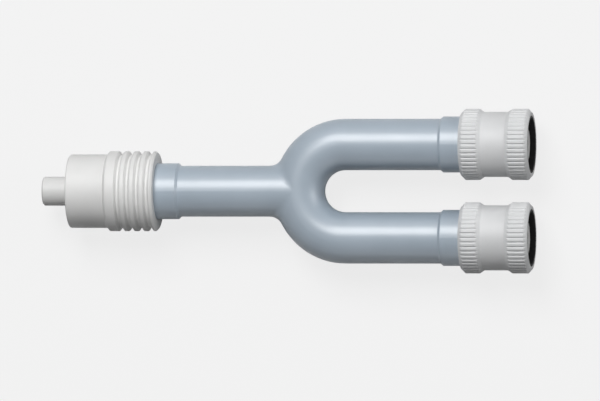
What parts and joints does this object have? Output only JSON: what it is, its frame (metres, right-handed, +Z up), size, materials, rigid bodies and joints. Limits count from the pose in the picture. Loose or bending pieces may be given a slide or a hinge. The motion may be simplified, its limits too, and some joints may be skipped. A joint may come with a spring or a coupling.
{
  "type": "tubing y connector",
  "caption": "Tubing Y connector: an inlet nipple in a cup with a ring grip feeds a tube that forks into parallel legs, each with a knurled swivel nut round a hollow spigot.",
  "frame": {"origin": "on the ground under the middle of the part, which lies flat", "axes": "+X along the stem from the inlet to the outlets, +Y towards the left leg, +Z up"},
  "size_m": [0.0982, 0.0326, 0.0159],
  "materials": {
    "tube": "satin",
    "fitting": "satin",
    "nut": "satin",
    "seal": "matte"
  },
  "bodies": {
    "connector": {"y_body": "tube", "inlet_shell": "fitting", "inlet_stem": "fitting", "inlet_washer": "seal", "left_stem": "fitting", "left_washer": "seal", "right_stem": "fitting", "right_washer": "seal"},
    "left_coupling": {"left_nut": "nut", "left_ring": "seal"},
    "right_coupling": {"right_nut": "nut", "right_ring": "seal"}
  },
  "joints": [
    {"name": "left_nut_turn", "type": "hinge", "parent": "connector", "child": "left_coupling", "pos_m": [0.03592, 0.00925, 0.00795], "axis": [1, 0, 0], "continuous": true},
    {"name": "right_nut_turn", "type": "hinge", "parent": "connector", "child": "right_coupling", "pos_m": [0.03592, -0.00925, 0.00795], "axis": [1, 0, 0], "continuous": true}
  ]
}
